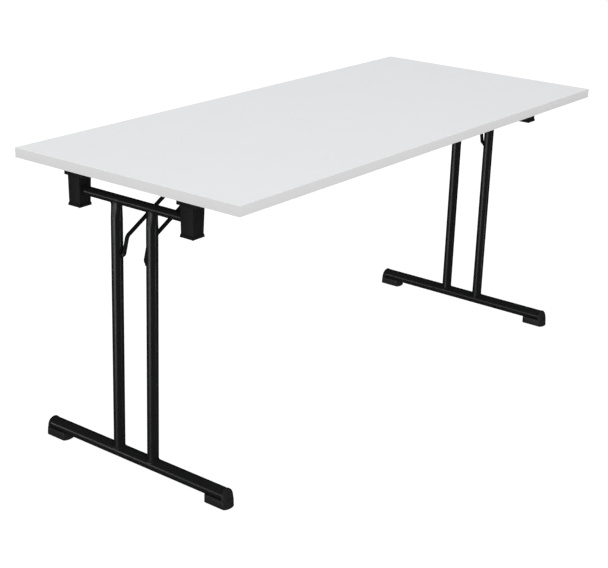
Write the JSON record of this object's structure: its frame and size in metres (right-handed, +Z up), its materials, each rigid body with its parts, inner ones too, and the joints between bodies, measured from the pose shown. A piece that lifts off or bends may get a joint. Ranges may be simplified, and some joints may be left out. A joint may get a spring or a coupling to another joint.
{
  "type": "folding table",
  "caption": "Rectangular white folding table on two black steel leg frames that fold inwards under the top, each braced by a bent wire stay.",
  "frame": {"origin": "on the floor, below the centre of the top, with the leg frames unfolded", "axes": "+X along the length of the top, +Y across its width, +Z up"},
  "size_m": [1.6, 0.7, 0.75],
  "materials": {
    "melamine_board": "white melamine-faced chipboard, fine orange-peel satin",
    "abs_edging": "light grey-white ABS edge band, satin",
    "powder_coated_steel": "black powder coat, fine texture, low sheen",
    "coated_wire": "black coated bent wire, low sheen",
    "moulded_polyamide": "black glass-filled polyamide, spark-eroded texture",
    "moulded_polypropylene": "black polypropylene, fine matt mould texture",
    "bumper_rubber": "black soft thermoplastic rubber, matt",
    "zinc_screws": "bright zinc-plated steel"
  },
  "bodies": {
    "tabletop": {"table_board": "melamine_board", "edge_band_front": "abs_edging", "edge_band_back": "abs_edging", "edge_band_left": "abs_edging", "edge_band_right": "abs_edging", "hinge_block_left_front": "moulded_polyamide", "hinge_block_left_back": "moulded_polyamide", "hinge_block_right_front": "moulded_polyamide", "hinge_block_right_back": "moulded_polyamide", "bumper_left_front": "bumper_rubber", "bumper_left_back": "bumper_rubber", "bumper_right_front": "bumper_rubber", "bumper_right_back": "bumper_rubber", "block_screws": "zinc_screws", "stay_catch_left": "moulded_polyamide", "stay_catch_right": "moulded_polyamide", "storage_clip_left": "moulded_polyamide", "storage_clip_right": "moulded_polyamide", "clip_screws": "zinc_screws"},
    "leg_left": {"crosstube_left": "powder_coated_steel", "column_left_front": "powder_coated_steel", "column_left_back": "powder_coated_steel", "foot_tube_left": "powder_coated_steel", "foot_cap_left_front": "moulded_polypropylene", "foot_cap_left_back": "moulded_polypropylene", "stay_bushes_left": "moulded_polyamide"},
    "stay_left": {"wire_stay_left": "coated_wire"},
    "leg_right": {"crosstube_right": "powder_coated_steel", "column_right_front": "powder_coated_steel", "column_right_back": "powder_coated_steel", "foot_tube_right": "powder_coated_steel", "foot_cap_right_front": "moulded_polypropylene", "foot_cap_right_back": "moulded_polypropylene", "stay_bushes_right": "moulded_polyamide"},
    "stay_right": {"wire_stay_right": "coated_wire"}
  },
  "joints": [
    {"name": "leg_left_fold", "type": "hinge", "parent": "tabletop", "child": "leg_left", "pos_m": [-0.755, 0, 0.6725], "axis": [0, -1, 0], "range_deg": [0, 90]},
    {"name": "stay_left_swing", "type": "hinge", "parent": "leg_left", "child": "stay_left", "pos_m": [-0.755, 0, 0.539], "axis": [0, 1, 0], "range_deg": [0, 117.47]},
    {"name": "leg_right_fold", "type": "hinge", "parent": "tabletop", "child": "leg_right", "pos_m": [0.755, 0, 0.6725], "axis": [0, 1, 0], "range_deg": [0, 90]},
    {"name": "stay_right_swing", "type": "hinge", "parent": "leg_right", "child": "stay_right", "pos_m": [0.755, 0, 0.539], "axis": [0, -1, 0], "range_deg": [0, 117.47]}
  ],
  "couplings": [
    {"joint": "stay_left_swing", "follows": "leg_left_fold", "ratio": 1.3046},
    {"joint": "stay_right_swing", "follows": "leg_right_fold", "ratio": 1.3046}
  ]
}
